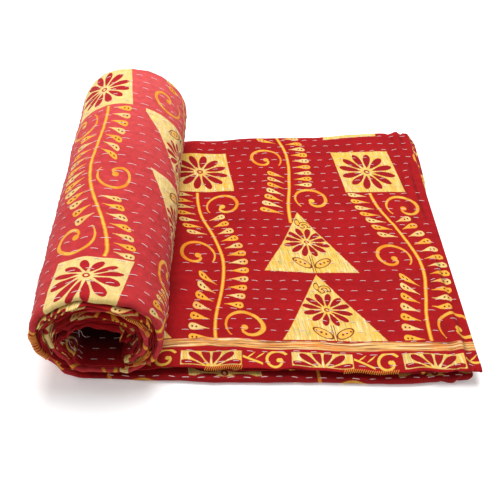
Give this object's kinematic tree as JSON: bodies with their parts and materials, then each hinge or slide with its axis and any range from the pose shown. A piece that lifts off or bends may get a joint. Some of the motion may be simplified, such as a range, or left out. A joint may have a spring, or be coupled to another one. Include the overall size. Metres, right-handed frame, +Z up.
{
  "type": "quilt",
  "caption": "Thin printed cotton quilt with rows of running stitch, folded in a long pack that lies flat and is rolled up at one end.",
  "frame": {"origin": "middle of the box's bottom face, on the surface that the quilt rests on", "axes": "+X from the roll to the flat end, -Y the side of the open hems, +Z up"},
  "size_m": [0.4392, 0.3982, 0.1255],
  "materials": {
    "printed_cotton": "matte woven cotton"
  },
  "bodies": {
    "root": {"quilt": "printed_cotton"}
  },
  "joints": []
}
